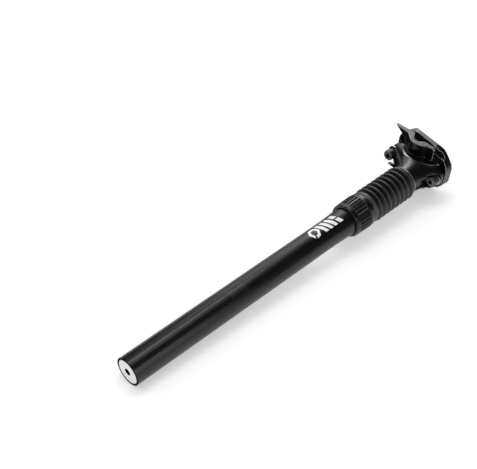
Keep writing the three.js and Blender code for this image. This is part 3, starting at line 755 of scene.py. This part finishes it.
# ---------- floor, lights and camera ----------
# the post lies on its left side: the room's up is close to -Y
UP = Vector((-0.12177, -0.99171, 0.04107)).normalized()
FLOOR_POINT = Vector((0.001655, 0.013476, -0.000558))
CAMERA_AT = Vector((0.36316, -0.6388, -0.26379))
CAMERA_FORWARD = Vector((-0.47358, 0.72478, 0.50042)).normalized()
CAMERA_UP = Vector((-0.5536, -0.68686, 0.4709))
LENS, SENSOR = 70.21, 36
CAMERA_RIGHT = CAMERA_FORWARD.cross(UP).normalized()
DEPTH = UP.cross(CAMERA_RIGHT).normalized()
CENTRE = Vector((0, 0, 0.2))
TO_HEAD = 0.145 * CAMERA_RIGHT + 0.137 * DEPTH
LOWER_END, HEAD_END = CENTRE - TO_HEAD, CENTRE + TO_HEAD
GLOSS_ROOM = (0.05, 0.10)         # dimmest and palest parts of the room seen in the gloss
SOFT_DOME = (0.25, 0.85)          # the same for the light that falls on matt surfaces
BACKDROP = 0.97                   # how bright the room is where the camera sees it


def in_room(right, depth, up):
    """A direction in the room, as seen from the camera's side."""
    return (right * CAMERA_RIGHT + depth * DEPTH + up * UP).normalized()


def placed(position, right, above, back):
    return Matrix.Translation(position) @ Matrix((right, above, back)).transposed().to_4x4()


def softbox(name, target, direction, away, size, power, gloss_only=False):
    """A soft rectangle of light, away metres from its target in one direction of the room."""
    light = bpy.data.lights.new(name, "AREA")
    light.shape = "RECTANGLE"
    light.size, light.size_y = size
    light.energy = power
    obj = bpy.data.objects.new(name, light)
    right = DEPTH.cross(direction).normalized()
    obj.matrix_world = placed(target + away * direction, right, direction.cross(right), direction)
    obj.visible_diffuse = not gloss_only
    bpy.context.scene.collection.objects.link(obj)


def build_floor():
    half = 4000.0
    mesh = bpy.data.meshes.new("floor")
    side, away = CAMERA_RIGHT, DEPTH
    corners = [FLOOR_POINT + (u * side + v * away) * half * MM
               for u, v in ((-1, -1), (1, -1), (1, 1), (-1, 1))]
    mesh.from_pydata([tuple(c) for c in corners], [], [(0, 1, 2, 3)])
    obj = bpy.data.objects.new("floor", mesh)
    bpy.context.scene.collection.objects.link(obj)
    if mesh.polygons[0].normal.dot(UP) < 0:
        mesh.flip_normals()
    material = bpy.data.materials.new("pale_floor")
    material.use_nodes = True
    nodes, links = material.node_tree.nodes, material.node_tree.links
    shader = nodes["Principled BSDF"]
    shader.inputs["Base Color"].default_value = (0.75, 0.75, 0.75, 1)
    shader.inputs["Roughness"].default_value = 0.9
    shader.inputs["Specular IOR Level"].default_value = 0.1
    shader.inputs["Emission Color"].default_value = (1, 1, 1, 1)
    shader.inputs["Emission Strength"].default_value = 0.42
    clear = nodes.new("ShaderNodeBsdfTransparent")
    one_sided = nodes.new("ShaderNodeMixShader")
    links.new(nodes.new("ShaderNodeNewGeometry").outputs["Backfacing"], one_sided.inputs[0])
    links.new(shader.outputs[0], one_sided.inputs[1])
    links.new(clear.outputs[0], one_sided.inputs[2])
    links.new(one_sided.outputs[0], nodes["Material Output"].inputs["Surface"])
    mesh.materials.append(material)


def build_flag():
    """A black card low behind the head, seen only in the gloss: it keeps the clamp's undersides dark."""
    rise = 0.002
    left, right, near, far = -0.13, -0.012, -0.03, 0.14
    foot = Vector((SETBACK_X, 0, RAIL_Z)) * MM
    foot -= UP * ((foot - FLOOR_POINT).dot(UP) - rise)
    mesh = bpy.data.meshes.new("flag")
    corners = [foot + u * CAMERA_RIGHT + v * DEPTH
               for u, v in ((left, near), (right, near), (right, far), (left, far))]
    mesh.from_pydata([tuple(c) for c in corners], [], [(0, 1, 2, 3)])
    obj = bpy.data.objects.new("flag", mesh)
    bpy.context.scene.collection.objects.link(obj)
    for ray in ("camera", "diffuse", "transmission", "volume_scatter", "shadow"):
        setattr(obj, f"visible_{ray}", False)
    material = bpy.data.materials.new("black_card")
    material.use_nodes = True
    shader = material.node_tree.nodes["Principled BSDF"]
    shader.inputs["Base Color"].default_value = (0.004, 0.004, 0.004, 1)
    shader.inputs["Specular IOR Level"].default_value = 0.0
    mesh.materials.append(material)


def glow(nodes, links, direction, towards, start, full, low, high):
    """Brightness that rises smoothly toward one direction of the room."""
    facing = nodes.new("ShaderNodeVectorMath")
    facing.operation = "DOT_PRODUCT"
    facing.inputs[1].default_value = towards
    links.new(direction, facing.inputs[0])
    ramp = nodes.new("ShaderNodeMapRange")
    ramp.interpolation_type = "SMOOTHSTEP"
    for key, number in (("From Min", start), ("From Max", full), ("To Min", low), ("To Max", high)):
        ramp.inputs[key].default_value = number
    links.new(facing.outputs["Value"], ramp.inputs["Value"])
    return ramp.outputs["Result"]


def either(nodes, links, factor, a, b):
    node = nodes.new("ShaderNodeMix")
    links.new(factor, node.inputs["Factor"])
    for socket, value in ((node.inputs["A"], a), (node.inputs["B"], b)):
        if isinstance(value, float):
            socket.default_value = value
        else:
            links.new(value, socket)
    return node.outputs["Result"]


def build_world():
    """A pale room: a soft dome for matt surfaces, a mostly dark one with a pale back wall in the gloss."""
    world = bpy.data.worlds.new("studio")
    bpy.context.scene.world = world
    world.use_nodes = True
    nodes, links = world.node_tree.nodes, world.node_tree.links
    direction = nodes.new("ShaderNodeTexCoord").outputs["Generated"]
    path = nodes.new("ShaderNodeLightPath")
    back_wall = glow(nodes, links, direction, in_room(0.1, 0.96, 0.25), 0.72, 1.0, *GLOSS_ROOM)
    corner = glow(nodes, links, direction, in_room(0.42, 0.90, 0.06), 0.88, 0.99, 0.0, 1.3)
    back_wall = math_node(nodes, links, "ADD", back_wall, corner)
    dome = glow(nodes, links, direction, in_room(-0.35, 0.55, 0.75), -0.3, 0.9, *SOFT_DOME)
    level = either(nodes, links, path.outputs["Is Diffuse Ray"], back_wall, dome)
    level = either(nodes, links, path.outputs["Is Camera Ray"], level, BACKDROP)
    nodes["Background"].inputs["Color"].default_value = (1, 1, 1, 1)
    links.new(level, nodes["Background"].inputs["Strength"])


def build_camera():
    data = bpy.data.cameras.new("camera")
    data.sensor_width, data.lens = SENSOR, LENS
    data.clip_start, data.clip_end = 0.01, 20
    camera = bpy.data.objects.new("camera", data)
    right = CAMERA_FORWARD.cross(CAMERA_UP).normalized()
    camera.matrix_world = placed(CAMERA_AT, right, right.cross(CAMERA_FORWARD), -CAMERA_FORWARD)
    bpy.context.scene.collection.objects.link(camera)
    bpy.context.scene.camera = camera


build_floor()
build_flag()
build_world()
build_camera()
softbox("key", LOWER_END, in_room(0.12, 0.35, 0.93), away=1.3, size=(0.5, 0.5), power=3.4)
softbox("back", CENTRE, in_room(-0.05, 0.81, 0.58), away=0.7, size=(0.5, 0.5), power=1.3, gloss_only=True)
softbox("head", HEAD_END, in_room(0.06, 0.76, 0.65), away=0.6, size=(0.3, 0.26), power=1.1, gloss_only=True)
softbox("low", LOWER_END, in_room(0.84, -0.41, 0.36), away=0.6, size=(0.25, 0.25), power=0.5)
bpy.context.scene.view_settings.view_transform = "Standard"
